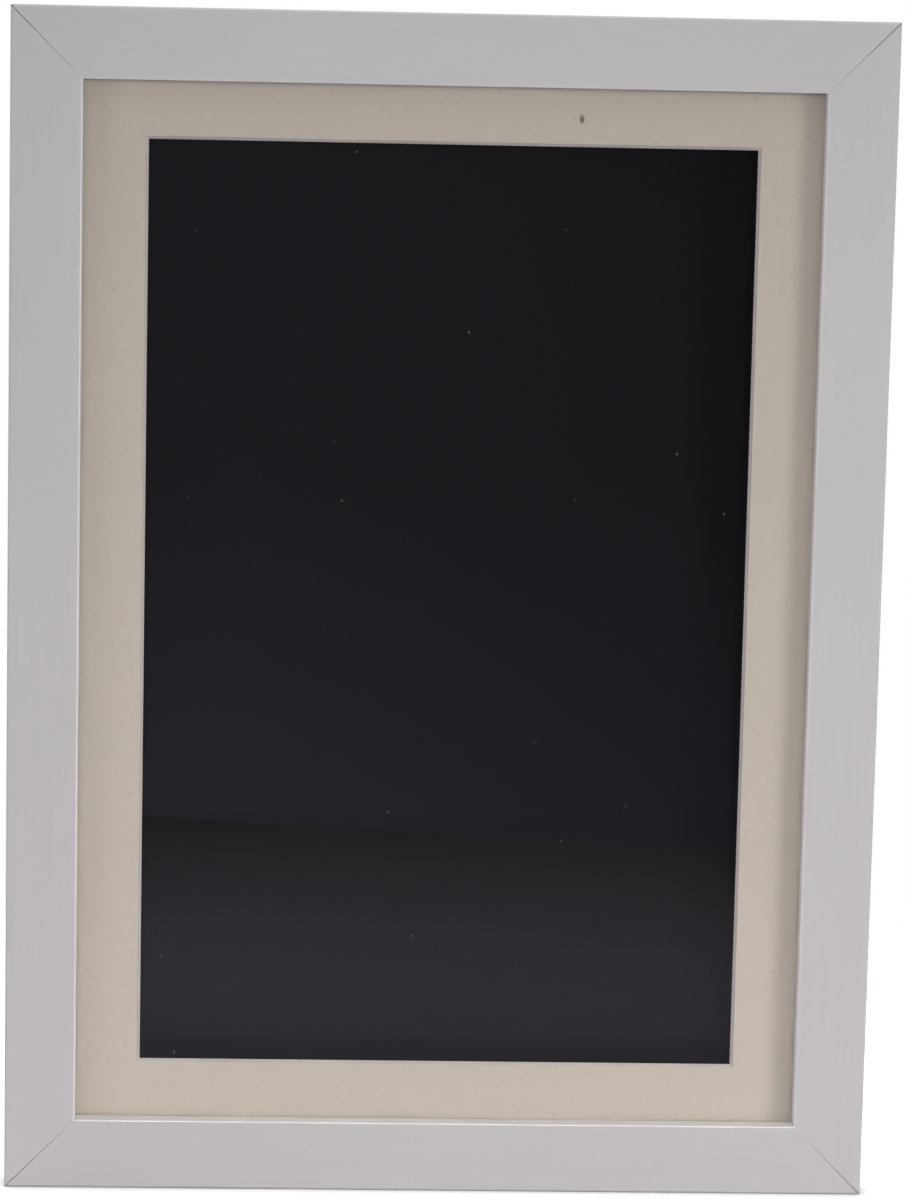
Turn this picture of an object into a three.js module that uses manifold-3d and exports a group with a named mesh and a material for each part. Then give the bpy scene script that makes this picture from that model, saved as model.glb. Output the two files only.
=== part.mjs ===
// A front-opening frame for children's art. A glazed and matted door swings on two butt hinges in front of
// a shallow tray that stores a stack of drawings, and two magnets hold it shut. Sizes are in millimetres.
// +X is the viewer's right, +Y runs into the wall and +Z is up. The origin lies on the wall, where the nail
// for the upright hanger comes out of it.

import * as THREE from 'three';
import { mergeVertices } from 'three/addons/utils/BufferGeometryUtils.js';
import Module from 'manifold-3d';

const wasm = await Module();
wasm.setup();

// Sheets of art that the frame is made for
const SHEET_W = 304.8;
const SHEET_H = 457.2;
const SHEET_ROOM_X = 2.6; // free play on each side of the sheets
const SHEET_ROOM_Z = 2.4; // free play above and below the sheets

// Clearances
const SEAT = 0.3; // between a piece and the face that it rests on
const FIT = 0.2; // round a piece that sits in a hole or a slot of its own shape

// Tray
const TRAY_RAIL_W = 47;
const RECESS_DEPTH = 18.4; // from the rim to the back panel
const TRAY_EASE = 0.8; // chamfer along the outer edges
const PANEL_T = 3;
const PANEL_LAP = 8; // width of the rebate that takes the back panel
const PANEL_PLAY = 0.5; // free play round the back panel
const FILM_T = 0.3;

// Door
const OVERHANG = 8; // of the door past the tray, all round, which is also the finger grip
const PARTING = 0.8; // gap between the shut door and the rim of the tray
const DOOR_RAIL_W = 34;
const LIP_T = 9; // thickness of the lip in front of the glazing
const RABBET_W = 7;
const OUTER_EASE = 1.2; // rounding of the outer front edge
const SIGHT_EASE = 0.7; // rounding of the edge round the mat
const BACK_EASE = 0.6; // chamfer of the outer back edge
const MITRE_EASE_OUTER = 0.22; // how far a mitre is drawn back along the rail, at the outer edge
const MITRE_EASE_INNER = 0.03; // the same at the sight edge
const GLAZING_T = 2;
const PANE_PLAY = 0.5; // free play round the glazing and the mat
const MAT_T = 1.5;
const MAT_LAP_X = 7.4; // how far the mat covers the sheet at each side
const MAT_LAP_Z = 4.6; // how far the mat covers the sheet at the top and the bottom

// Steel points that hold the glazing and the mat
const POINT_T = 0.8;
const POINT_W = 8;
const POINT_OVER_MAT = 6; // length that shows over the mat
const POINT_IN_WOOD = 9; // length driven into the rabbet wall
const POINT_TAPER = 3; // length of the sharpened end
const POINT_COVER = 1.8; // how far the points lie below the back of the door
const POINT_FROM_CORNER = 150;

// Corner wedges, driven into the mitres from behind
const WEDGE_LEG = 8;
const WEDGE_T = 0.8;
const WEDGE_DEPTH = 9;

// Butt hinges
const HINGE_L = 40;
const HINGE_FROM_CORNER = 90;
const HINGE_SETOUT = 2; // from the side of the tray out to the pin
const KNUCKLES = 5; // the odd ones belong to the tray leaf
const KNUCKLE_R = 2.5;
const KNUCKLE_PLAY = 0.3; // along the pin, between two knuckles
const PIN_R = 1.1;
const PIN_FIT = 0.1;
const PIN_HEAD_R = 1.7;
const PIN_HEAD_T = 0.7;
const LEAF_T = 1.2;
const LEAF_W = 17; // from the pin to the far edge of a leaf
const KNUCKLE_POCKET = 0.5; // room round the knuckles in the door
const LEAF_SCREW_X = 11; // from the middle of the hinge along the pin
const LEAF_SCREW_IN = 11; // from the pin to the screws

// Countersunk screws
const SCREW_HEAD_R = 2.7;
const SCREW_SHANK_R = 1.4;
const SCREW_L = 9;
const SCREW_TIP = 2.5; // length of the pointed end
const CROSS_W = 0.7;
const CROSS_SPAN = 2.8;
const CROSS_DEPTH = 0.8;

// Magnet catch
const CATCH_FROM_CORNER = 60;
const MAGNET_R = 4;
const MAGNET_T = 4;
const STRIKE_R = 6;
const STRIKE_T = 1.5;

// Elastic straps over the long edges of the sheets
const STRAP_W = 6;
const STRAP_T = 1;
const STRAP_BELOW_RIM = 4;
const STRAP_BEND = 2; // outer radius where the end folds back
const STRAP_TAB = 11; // depth of the folded end
const STRAP_BEHIND_MAT = 1.5; // from the edge of the mat's window out to the strap
const STAPLE_WIRE = 0.6;
const STAPLE_BAND = 1.2; // width of the flat wire
const STAPLE_LEG = 5; // length in the wood
const STAPLE_FROM_FOLD = 6;

// Sawtooth hangers
const HANGER_L = 46;
const HANGER_H = 10;
const HANGER_T = 0.9;
const HANGER_FOOT = 9; // flat length at each end
const HANGER_JOGGLE = 2; // length of the bend between a foot and the raised middle
const HANGER_RISE = 1.2;
const TOOTH_PITCH = 2;
const TOOTH_DEPTH = 1.3;
const TEETH = 11;
const NAIL_R = 0.8;
const NAIL_POINT = 1.6; // length of the pointed end
const NAIL_L = 10;
const NAIL_HEAD_R = 2.2;
const NAIL_HEAD_T = 0.8;
const NAIL_CROWN_R = 1.3; // flat top of the head
const NAIL_FROM_END = 4.5;

// Rubber bumpers
const BUMPER_R = 5;
const BUMPER_T = 2.7;
const BUMPER_EASE = 0.6;
const BUMPER_INSET = 16;

// Number of flats round a turned piece
const ROUND_STEPS = 18;
const BEND_STEPS = 3; // pairs of flats in a rounded edge or a fold

// Sizes that follow
const QUARTER = Math.PI / 2;
const recessW = SHEET_W + 2 * SHEET_ROOM_X;
const recessH = SHEET_H + 2 * SHEET_ROOM_Z;
const trayW = recessW + 2 * TRAY_RAIL_W;
const trayH = recessH + 2 * TRAY_RAIL_W;
const trayDepth = RECESS_DEPTH + SEAT + PANEL_T;
const doorW = trayW + 2 * OVERHANG;
const doorH = trayH + 2 * OVERHANG;
const glazingFront = LIP_T + SEAT;
const matFront = glazingFront + GLAZING_T + SEAT;
const pointFront = matFront + MAT_T + SEAT;
const doorT = pointFront + POINT_T + POINT_COVER;
const paneW = doorW - 2 * (DOOR_RAIL_W - RABBET_W + PANE_PLAY);
const paneH = doorH - 2 * (DOOR_RAIL_W - RABBET_W + PANE_PLAY);
const windowW = SHEET_W - 2 * MAT_LAP_X;
const windowH = SHEET_H - 2 * MAT_LAP_Z;
const hingeAt = doorH / 2 - HINGE_FROM_CORNER;
const catchAt = doorH / 2 - CATCH_FROM_CORNER;
const catchInset = (OVERHANG + DOOR_RAIL_W - RABBET_W) / 2; // from the door's edge to the magnets
const strapX = windowW / 2 + STRAP_BEHIND_MAT + STRAP_W / 2;
const hangerInset = TRAY_RAIL_W / 2; // from the tray's edge to the middle of a hanger
const nailAt = HANGER_L / 2 - NAIL_FROM_END;
const trayBack = -(BUMPER_T + SEAT);
const trayRim = trayBack - trayDepth;
const doorFront = trayRim - PARTING - doorT;
const hangHeight = trayH / 2 - hangerInset - HANGER_H / 2 + TOOTH_DEPTH;

// Finishes
const SILVER = { color: 0xb8b5b7, roughness: 0.42, metalness: 0.55 };
const BLACK_PAINT = { color: 0x1c1c1e, roughness: 0.6, metalness: 0 };
const BLACK_BOARD = { color: 0x161618, roughness: 0.7, metalness: 0 };
const CREAM_BOARD = { color: 0xb9b09f, roughness: 0.9, metalness: 0 };
const CLEAR = { color: 0xf2f5f6, roughness: 0.05, metalness: 0, transparent: true, opacity: 0.15 };
const BRIGHT_STEEL = { color: 0xc9c8c4, roughness: 0.28, metalness: 1 };
const ZINC = { color: 0xb3b5b8, roughness: 0.4, metalness: 1 };
const DARK_ELASTIC = { color: 0x202022, roughness: 0.95, metalness: 0 };
const RUBBER = { color: 0x2a2a2c, roughness: 0.85, metalness: 0 };

// Joining and cutting

const WELD = 1e-4;

function solidFrom(geometry) {
  const bare = geometry.clone();
  bare.deleteAttribute('normal');
  bare.deleteAttribute('uv');
  const welded = mergeVertices(bare, WELD);
  const triVerts = [];
  for (let i = 0; i < welded.index.count; i += 3) {
    const corners = [0, 1, 2].map((k) => welded.index.getX(i + k));
    if (new Set(corners).size === corners.length) triVerts.push(...corners);
  }
  const mesh = new wasm.Mesh({
    numProp: 3,
    vertProperties: new Float32Array(welded.attributes.position.array),
    triVerts: new Uint32Array(triVerts),
  });
  return new wasm.Manifold(mesh);
}

function geometryFrom(solid) {
  const { vertProperties, triVerts } = solid.getMesh();
  const shared = new THREE.BufferGeometry();
  shared.setAttribute('position', new THREE.BufferAttribute(vertProperties, 3));
  shared.setIndex(new THREE.BufferAttribute(triVerts, 1));
  const geometry = shared.toNonIndexed();
  geometry.computeVertexNormals();
  return geometry;
}

function cut(body, cutters) {
  const take = (solid, cutter) => solid.subtract(solidFrom(cutter));
  return geometryFrom(cutters.reduce(take, solidFrom(body)));
}

function join(geometries) {
  const [first, ...rest] = geometries.map(solidFrom);
  return geometryFrom(rest.reduce((solid, next) => solid.add(next), first));
}

// Basic shapes

// A block between two corners
function block([x0, y0, z0], [x1, y1, z1]) {
  const box = new THREE.BoxGeometry(x1 - x0, y1 - y0, z1 - z0);
  return box.translate((x0 + x1) / 2, (y0 + y1) / 2, (z0 + z1) / 2);
}

// A closed outline through corner points
function outline(points) {
  return new THREE.Shape(points.map(([x, y]) => new THREE.Vector2(x, y)));
}

// A plate whose outline is drawn in X and Z, from depth y0 to depth y1
function plate(shape, y0, y1) {
  const slab = new THREE.ExtrudeGeometry(shape, { depth: y1 - y0, bevelEnabled: false });
  return slab.rotateX(QUARTER).translate(0, y1, 0);
}

// A turned piece about the Y axis, from its [radius, depth] profile, which starts and ends on the axis
function turned(profile) {
  return new THREE.LatheGeometry(profile.map(([r, y]) => new THREE.Vector2(r, y)), ROUND_STEPS);
}

// A drilled hole or a disc, square to the front of the frame
function disc(radius, y0, y1) {
  return turned([[0, y0], [radius, y0], [radius, y1], [0, y1]]);
}

// A moulding with mitred ends. Its profile runs inward in X and back in Y. The finished rail lies along X
// with its outer edge on the X axis and the frame's middle towards -Z.
function mitredRail(profile, length, width) {
  const options = { depth: 1, bevelEnabled: false, curveSegments: BEND_STEPS };
  const rail = new THREE.ExtrudeGeometry(profile, options);
  const at = rail.attributes.position;
  for (let i = 0; i < at.count; i++) {
    const inward = at.getX(i);
    const drawnBack = THREE.MathUtils.lerp(MITRE_EASE_OUTER, MITRE_EASE_INNER, inward / width);
    const half = length / 2 - inward - drawnBack;
    at.setXYZ(i, (2 * at.getZ(i) - 1) * half, at.getY(i), -inward);
  }
  return rail;
}

// A flat board with a window whose walls slope by the board's thickness, narrowest at the back
function bevelledBoard(width, height, openingW, openingH, thickness) {
  const loops = [
    [width / 2, height / 2, 0],
    [width / 2, height / 2, thickness],
    [openingW / 2, openingH / 2, thickness],
    [openingW / 2 + thickness, openingH / 2 + thickness, 0],
  ];
  const signs = [[-1, 1], [1, 1], [1, -1], [-1, -1]];
  const positions = loops.flatMap(([x, z, y]) => signs.flatMap(([sx, sz]) => [sx * x, y, sz * z]));
  const index = [];
  for (let ring = 0; ring < loops.length; ring++) {
    const next = (ring + 1) % loops.length;
    for (let corner = 0; corner < signs.length; corner++) {
      const beside = (corner + 1) % signs.length;
      const quad = [ring * 4 + corner, ring * 4 + beside, next * 4 + beside, next * 4 + corner];
      index.push(quad[0], quad[1], quad[2], quad[0], quad[2], quad[3]);
    }
  }
  const shared = new THREE.BufferGeometry();
  shared.setAttribute('position', new THREE.Float32BufferAttribute(positions, 3));
  shared.setIndex(index);
  const board = shared.toNonIndexed();
  board.computeVertexNormals();
  return board;
}

function piece(name, geometry, finish) {
  const mesh = new THREE.Mesh(geometry, new THREE.MeshStandardMaterial(finish));
  mesh.name = name;
  return mesh;
}

// The four sides of a frame as groups with one layout: X runs along the side, +Z points out of the frame and
// the origin is the middle of the outer edge.
function makeSides(parent, width, height) {
  const layout = {
    top: { turn: 0, length: width, x: 0, z: height / 2 },
    right: { turn: QUARTER, length: height, x: width / 2, z: 0 },
    bottom: { turn: 2 * QUARTER, length: width, x: 0, z: -height / 2 },
    left: { turn: -QUARTER, length: height, x: -width / 2, z: 0 },
  };
  for (const side of Object.values(layout)) {
    side.group = new THREE.Group();
    side.group.position.set(side.x, 0, side.z);
    side.group.rotation.y = side.turn;
    parent.add(side.group);
  }
  return layout;
}

// Fasteners

// A countersunk screw with its head flat at depth 0 and its point towards +Y. Grown, it is the hole for one.
function screwBody(grow) {
  const headT = SCREW_HEAD_R - SCREW_SHANK_R;
  return turned([
    [0, -grow],
    [SCREW_HEAD_R + grow, -grow],
    [SCREW_HEAD_R + grow, 0],
    [SCREW_SHANK_R + grow, headT],
    [SCREW_SHANK_R + grow, SCREW_L - SCREW_TIP],
    [0, SCREW_L + grow],
  ]);
}

function screw() {
  const half = CROSS_SPAN / 2;
  const slotA = block([-half, -FIT, -CROSS_W / 2], [half, CROSS_DEPTH, CROSS_W / 2]);
  const slotB = block([-CROSS_W / 2, -FIT, -half], [CROSS_W / 2, CROSS_DEPTH, half]);
  return cut(screwBody(0), [slotA, slotB]);
}

// A round-headed nail: the underside of its head is at depth 0 and its point runs towards -Y
function nail(grow) {
  return turned([
    [0, -NAIL_L - grow],
    [NAIL_R + grow, NAIL_POINT - NAIL_L],
    [NAIL_R + grow, 0],
    [NAIL_HEAD_R + grow, 0],
    [NAIL_HEAD_R + grow, NAIL_HEAD_T / 2],
    [NAIL_CROWN_R + grow, NAIL_HEAD_T + grow],
    [0, NAIL_HEAD_T + grow],
  ]);
}

// A steel point: flat over the mat, with its sharpened end in the wood, drawn with the rabbet wall at Z 0
function steelPoint(grow) {
  const half = POINT_W / 2 + grow;
  const shape = outline([
    [-half, -POINT_OVER_MAT - grow],
    [half, -POINT_OVER_MAT - grow],
    [half, POINT_IN_WOOD - POINT_TAPER],
    [0, POINT_IN_WOOD + grow],
    [-half, POINT_IN_WOOD - POINT_TAPER],
  ]);
  return plate(shape, pointFront - grow, pointFront + POINT_T + grow);
}

// A corner wedge: two legs that meet on the mitre, drawn from the outer corner of the door
function cornerWedge(grow, backY) {
  const heel = (DOOR_RAIL_W - RABBET_W - WEDGE_T) / 2;
  const toe = heel + WEDGE_LEG + grow;
  const inside = heel + WEDGE_T + grow;
  const back = heel - grow;
  const shape = outline([
    [back, -back],
    [back, -toe],
    [inside, -toe],
    [inside, -inside],
    [toe, -inside],
    [toe, -back],
  ]);
  return plate(shape, doorT - SEAT - WEDGE_DEPTH - grow, backY);
}

// Hinges, drawn with the pin along X and the tray's side towards -Z. way is -1 for the door leaf, which lies
// in front of the pin, and +1 for the tray leaf behind it.

const knucklePitch = HINGE_L / KNUCKLES;
const knuckleLength = knucklePitch - KNUCKLE_PLAY;
const leafEdge = KNUCKLE_R + KNUCKLE_POCKET; // from the pin to a leaf between its own knuckles
const leafRoot = (PIN_R + PIN_FIT + KNUCKLE_R) / 2; // a leaf runs into its knuckles as far as this

function knuckle(x) {
  const ring = new THREE.Shape().absarc(0, 0, KNUCKLE_R, 0, 2 * Math.PI);
  ring.holes.push(new THREE.Path().absarc(0, 0, PIN_R + PIN_FIT, 0, 2 * Math.PI));
  const options = { depth: knuckleLength, bevelEnabled: false, curveSegments: ROUND_STEPS / 2 };
  return new THREE.ExtrudeGeometry(ring, options).rotateY(QUARTER).translate(x - knuckleLength / 2, 0, 0);
}

function leafDepths(way) {
  return way < 0 ? [-PARTING / 2 - LEAF_T, -PARTING / 2] : [PARTING / 2, PARTING / 2 + LEAF_T];
}

function leafScrewHoles(way, grow) {
  const head = way < 0 ? QUARTER * 2 : 0;
  const place = (x) => screwBody(grow).rotateX(head).translate(x, way * PARTING / 2, -LEAF_SCREW_IN);
  return [-LEAF_SCREW_X, LEAF_SCREW_X].map(place);
}

function hingeLeaf(way) {
  const [y0, y1] = leafDepths(way);
  const parts = [block([-HINGE_L / 2, y0, -LEAF_W], [HINGE_L / 2, y1, -leafEdge])];
  for (let k = way < 0 ? 1 : 0; k < KNUCKLES; k += 2) {
    const x = (k + 0.5) * knucklePitch - HINGE_L / 2;
    const half = knuckleLength / 2;
    parts.push(block([x - half, y0, -leafEdge - LEAF_T], [x + half, y1, -leafRoot]));
    parts.push(knuckle(x));
  }
  return cut(join(parts), leafScrewHoles(way, FIT));
}

function hingePin() {
  const end = HINGE_L / 2 + SEAT;
  const pin = turned([
    [0, -end - PIN_HEAD_T],
    [PIN_HEAD_R, -end - PIN_HEAD_T / 2],
    [PIN_HEAD_R, -end],
    [PIN_R, -end],
    [PIN_R, end],
    [PIN_HEAD_R, end],
    [PIN_HEAD_R, end + PIN_HEAD_T / 2],
    [0, end + PIN_HEAD_T],
  ]);
  return pin.rotateZ(-QUARTER);
}

// The bed for a leaf, with the pocket that the knuckles turn in
function hingeBed(way) {
  const halfL = HINGE_L / 2 + SEAT;
  const [y0, y1] = leafDepths(way);
  const bed = way < 0
    ? block([-halfL, y0 - SEAT, -LEAF_W - SEAT], [halfL, 0, leafEdge])
    : block([-halfL, 0, -LEAF_W - SEAT], [halfL, y1 + SEAT, leafEdge]);
  if (way > 0) return [bed];
  const halfPocket = halfL + PIN_HEAD_T + KNUCKLE_POCKET;
  return [bed, block([-halfPocket, -leafEdge, -leafEdge], [halfPocket, 0, leafEdge])];
}

// Door rails

function doorProfile() {
  const edge = new THREE.Shape();
  edge.moveTo(0, OUTER_EASE);
  edge.absarc(OUTER_EASE, OUTER_EASE, OUTER_EASE, 2 * QUARTER, 3 * QUARTER);
  edge.lineTo(DOOR_RAIL_W - SIGHT_EASE, 0);
  edge.absarc(DOOR_RAIL_W - SIGHT_EASE, SIGHT_EASE, SIGHT_EASE, 3 * QUARTER, 4 * QUARTER);
  edge.lineTo(DOOR_RAIL_W, LIP_T);
  edge.lineTo(DOOR_RAIL_W - RABBET_W, LIP_T);
  edge.lineTo(DOOR_RAIL_W - RABBET_W, doorT);
  edge.lineTo(BACK_EASE, doorT);
  edge.lineTo(0, doorT - BACK_EASE);
  return edge;
}

const rabbetWall = -(DOOR_RAIL_W - RABBET_W);
const doorPinZ = HINGE_SETOUT - OVERHANG;
const doorPinY = doorT + PARTING / 2;

function pointPlaces(length) {
  const x = length / 2 - POINT_FROM_CORNER;
  return [-x, x];
}

function doorRail(sideName, length) {
  const cutters = pointPlaces(length).map((x) => steelPoint(FIT).translate(x, 0, rabbetWall));
  cutters.push(cornerWedge(FIT, doorT + FIT).translate(-length / 2, 0, 0));
  cutters.push(cornerWedge(FIT, doorT + FIT).rotateY(QUARTER).translate(length / 2, 0, 0));
  if (sideName === 'left') {
    for (const x of [-hingeAt, hingeAt]) {
      const beds = [...hingeBed(-1), ...leafScrewHoles(-1, FIT)];
      cutters.push(...beds.map((bed) => bed.translate(x, doorPinY, doorPinZ)));
    }
  }
  if (sideName === 'right') {
    for (const x of [-catchAt, catchAt]) {
      const seat = disc(STRIKE_R + FIT, doorT - STRIKE_T - SEAT, doorT + FIT);
      const hole = screwBody(FIT).rotateX(2 * QUARTER).translate(0, doorT, 0);
      cutters.push(...[seat, hole].map((tool) => tool.translate(x, 0, -catchInset)));
    }
  }
  return cut(mitredRail(doorProfile(), length, DOOR_RAIL_W), cutters);
}

function strikeDisc() {
  return cut(disc(STRIKE_R, -STRIKE_T, 0), [screwBody(FIT).rotateX(2 * QUARTER)]);
}

// Tray rails

function trayProfile() {
  return outline([
    [TRAY_EASE, 0],
    [TRAY_RAIL_W, 0],
    [TRAY_RAIL_W, RECESS_DEPTH],
    [TRAY_RAIL_W - PANEL_LAP, RECESS_DEPTH],
    [TRAY_RAIL_W - PANEL_LAP, trayDepth],
    [TRAY_EASE, trayDepth],
    [0, trayDepth - TRAY_EASE],
    [0, TRAY_EASE],
  ]);
}

// Staples straddle a strap. They are drawn with the recess wall at Z 0 and the wood towards +Z.
const strapFace = -SEAT - STRAP_T; // the side of the folded end that faces the middle of the tray
const stapleLegX = STRAP_W / 2 + FIT; // inner face of a leg
const stapleY = STRAP_BELOW_RIM + STAPLE_FROM_FOLD;

function staple() {
  const crown = strapFace - FIT;
  const outer = stapleLegX + STAPLE_WIRE;
  const shape = outline([
    [-outer, crown - STAPLE_WIRE],
    [outer, crown - STAPLE_WIRE],
    [outer, STAPLE_LEG],
    [stapleLegX, STAPLE_LEG],
    [stapleLegX, crown],
    [-stapleLegX, crown],
    [-stapleLegX, STAPLE_LEG],
    [-outer, STAPLE_LEG],
  ]);
  return plate(shape, stapleY, stapleY + STAPLE_BAND);
}

function stapleSlots(x) {
  const y0 = stapleY - FIT;
  const y1 = stapleY + STAPLE_BAND + FIT;
  const z0 = -TRAY_RAIL_W - FIT;
  const z1 = STAPLE_LEG + FIT - TRAY_RAIL_W;
  const leg = (x0, x1) => block([x0 - FIT, y0, z0], [x1 + FIT, y1, z1]);
  const outer = stapleLegX + STAPLE_WIRE;
  return [leg(x - outer, x - stapleLegX), leg(x + stapleLegX, x + outer)];
}

function trayRail(sideName, length) {
  const cutters = [];
  if (sideName === 'top' || sideName === 'bottom') {
    cutters.push(...stapleSlots(-strapX), ...stapleSlots(strapX));
  }
  if (sideName === 'top' || sideName === 'left') {
    const y = trayDepth + SEAT + HANGER_T + SEAT;
    cutters.push(...[-nailAt, nailAt].map((x) => nail(FIT).translate(x, y, -hangerInset)));
  }
  if (sideName === 'left') {
    for (const x of [-hingeAt, hingeAt]) {
      const beds = [...hingeBed(1), ...leafScrewHoles(1, FIT)];
      cutters.push(...beds.map((bed) => bed.translate(x, -PARTING / 2, HINGE_SETOUT)));
    }
  }
  if (sideName === 'right') {
    const pocket = () => disc(MAGNET_R + FIT, -FIT, MAGNET_T + SEAT);
    cutters.push(...[-catchAt, catchAt].map((x) => pocket().translate(x, 0, OVERHANG - catchInset)));
  }
  const rail = mitredRail(trayProfile(), length, TRAY_RAIL_W);
  return cutters.length ? cut(rail, cutters) : rail;
}

// An elastic strap: straight over the sheets, with both ends folded back along the recess walls
function strap() {
  const h = recessH / 2 - SEAT;
  const y0 = STRAP_BELOW_RIM;
  const yBend = y0 + STRAP_BEND;
  const yEnd = y0 + STRAP_TAB;
  const inner = STRAP_BEND - STRAP_T;
  const path = new THREE.Shape();
  path.moveTo(-h, yEnd);
  path.lineTo(-h, yBend);
  path.absarc(-h + STRAP_BEND, yBend, STRAP_BEND, 2 * QUARTER, 3 * QUARTER);
  path.lineTo(h - STRAP_BEND, y0);
  path.absarc(h - STRAP_BEND, yBend, STRAP_BEND, 3 * QUARTER, 4 * QUARTER);
  path.lineTo(h, yEnd);
  path.lineTo(h - STRAP_T, yEnd);
  path.lineTo(h - STRAP_T, yBend);
  path.absarc(h - STRAP_BEND, yBend, inner, 4 * QUARTER, 3 * QUARTER, true);
  path.lineTo(-h + STRAP_BEND, y0 + STRAP_T);
  path.absarc(-h + STRAP_BEND, yBend, inner, 3 * QUARTER, 2 * QUARTER, true);
  path.lineTo(-h + STRAP_T, yEnd);
  const options = { depth: STRAP_W, bevelEnabled: false, curveSegments: BEND_STEPS };
  const band = new THREE.ExtrudeGeometry(path, options);
  return band.translate(0, 0, -STRAP_W / 2).rotateY(-QUARTER);
}

// A sawtooth hanger: a strip with its middle raised off the wood and teeth along its lower edge, drawn with
// the wood at depth 0 and the middle of the strip at the origin
function hanger() {
  const end = HANGER_L / 2;
  const foot = end - HANGER_FOOT;
  const middle = foot - HANGER_JOGGLE;
  const y0 = SEAT;
  const y1 = SEAT + HANGER_T;
  const strip = outline([
    [-end, y0],
    [-foot, y0],
    [-middle, y0 + HANGER_RISE],
    [middle, y0 + HANGER_RISE],
    [foot, y0],
    [end, y0],
    [end, y1],
    [foot, y1],
    [middle, y1 + HANGER_RISE],
    [-middle, y1 + HANGER_RISE],
    [-foot, y1],
    [-end, y1],
  ]);
  const band = new THREE.ExtrudeGeometry(strip, { depth: HANGER_H, bevelEnabled: false });
  band.translate(0, 0, -HANGER_H / 2);
  const low = -HANGER_H / 2;
  const saw = [];
  for (let tooth = 0; tooth < TEETH; tooth++) {
    const x = (tooth - TEETH / 2) * TOOTH_PITCH;
    saw.push([x, low], [x + TOOTH_PITCH / 2, low + TOOTH_DEPTH]);
  }
  const sawEnd = TEETH / 2 * TOOTH_PITCH;
  saw.push([sawEnd, low], [sawEnd, low - TOOTH_DEPTH], [-sawEnd, low - TOOTH_DEPTH]);
  const notches = plate(outline(saw), 0, y1 + HANGER_RISE + FIT);
  const holes = [-nailAt, nailAt].map((x) => disc(NAIL_R + FIT, 0, y1 + FIT).translate(x, 0, 0));
  return cut(band, [notches, ...holes]);
}

function bumper() {
  return turned([
    [0, 0],
    [BUMPER_R, 0],
    [BUMPER_R, BUMPER_T - BUMPER_EASE],
    [BUMPER_R - BUMPER_EASE, BUMPER_T],
    [0, BUMPER_T],
  ]);
}

// Assembly

function placed(mesh, x, y, z, turnX = 0) {
  mesh.position.set(x, y, z);
  mesh.rotation.x = turnX;
  return mesh;
}

// The two halves of a side, by the sign of X there, in the viewer's words
const HALVES = {
  top: { '-1': 'left', 1: 'right' },
  bottom: { '-1': 'right', 1: 'left' },
  left: { '-1': 'lower', 1: 'upper' },
  right: { '-1': 'upper', 1: 'lower' },
};
const FIRST_CORNER = { top: 'top_left', right: 'top_right', bottom: 'bottom_right', left: 'bottom_left' };
const RAIL_WORD = { top: 'rail', bottom: 'rail', left: 'stile', right: 'stile' };

function makeDoor() {
  const door = new THREE.Group();
  door.position.y = doorFront;
  const glazingBack = glazingFront + GLAZING_T;
  const pane = block([-paneW / 2, glazingFront, -paneH / 2], [paneW / 2, glazingBack, paneH / 2]);
  door.add(piece('glazing', pane, CLEAR));
  const mat = bevelledBoard(paneW, paneH, windowW, windowH, MAT_T);
  door.add(placed(piece('mat_board', mat, CREAM_BOARD), 0, matFront, 0));
  const sides = makeSides(door, doorW, doorH);
  for (const [sideName, { group, length }] of Object.entries(sides)) {
    group.add(piece(`door_${sideName}_${RAIL_WORD[sideName]}`, doorRail(sideName, length), SILVER));
    for (const x of pointPlaces(length)) {
      const name = `mat_point_${sideName}_${HALVES[sideName][Math.sign(x)]}`;
      group.add(placed(piece(name, steelPoint(0), ZINC), x, 0, rabbetWall));
    }
    const wedge = piece(`corner_wedge_${FIRST_CORNER[sideName]}`, cornerWedge(0, doorT - SEAT), ZINC);
    group.add(placed(wedge, -length / 2, 0, 0));
  }
  for (const way of [-1, 1]) {
    const x = way * hingeAt;
    const leafName = `hinge_${HALVES.left[way]}_door_leaf`;
    sides.left.group.add(placed(piece(leafName, hingeLeaf(-1), BRIGHT_STEEL), x, doorPinY, doorPinZ));
    for (const end of [-1, 1]) {
      const name = `hinge_${HALVES.left[way]}_door_screw_${HALVES.left[end]}`;
      const fastener = piece(name, screw(), BRIGHT_STEEL);
      const atX = x + end * LEAF_SCREW_X;
      sides.left.group.add(placed(fastener, atX, doorT, doorPinZ - LEAF_SCREW_IN, 2 * QUARTER));
    }
    const half = HALVES.right[way];
    const strike = piece(`strike_disc_${half}`, strikeDisc(), ZINC);
    sides.right.group.add(placed(strike, way * catchAt, doorT, -catchInset));
    const strikeScrew = piece(`strike_screw_${half}`, screw(), ZINC);
    sides.right.group.add(placed(strikeScrew, way * catchAt, doorT, -catchInset, 2 * QUARTER));
  }
  return door;
}

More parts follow.
